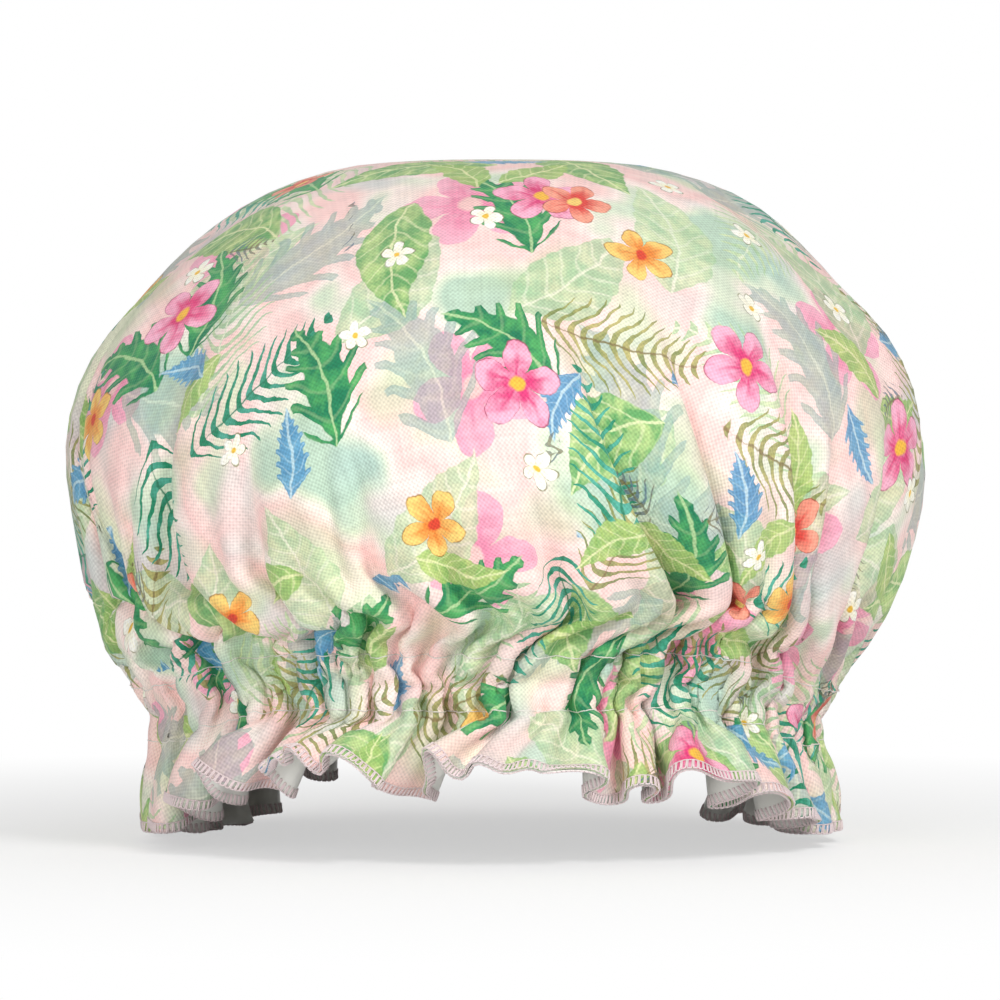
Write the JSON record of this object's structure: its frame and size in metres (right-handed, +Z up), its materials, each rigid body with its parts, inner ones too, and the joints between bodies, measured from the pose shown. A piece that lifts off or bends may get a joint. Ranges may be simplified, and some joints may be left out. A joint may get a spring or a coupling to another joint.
{
  "type": "shower cap",
  "caption": "Gathered shower cap: printed linen over a waterproof lining, elastic in a stitched casing, and an overlocked frill.",
  "frame": {"origin": "on the floor, under the middle of the cap's bounding box, which is also under the middle of the crown", "axes": "+Z up through the crown, the opening faces down, the front faces -Y, and +X is to the right of someone who looks at the front"},
  "size_m": [0.2495, 0.2643, 0.198],
  "materials": {
    "printed_linen": "loose plain-weave linen, printed, matt",
    "lining_membrane": "thin whitish waterproof film, soft sheen",
    "braided_elastic": "white braided elastic, ribbed",
    "pale_thread": "fine off-white sewing thread",
    "pink_thread": "pale pink textured overlock thread"
  },
  "bodies": {
    "root": {"outer_cover": "printed_linen", "waterproof_lining": "lining_membrane", "elastic_band": "braided_elastic", "elastic_join_stitches": "pale_thread", "casing_upper_needle_thread": "pale_thread", "casing_upper_bobbin_thread": "pale_thread", "casing_lower_needle_thread": "pale_thread", "casing_lower_bobbin_thread": "pale_thread", "edge_overlock_upper_looper": "pink_thread", "edge_overlock_lower_looper": "pink_thread", "edge_overlock_needle_thread": "pink_thread"}
  },
  "joints": []
}
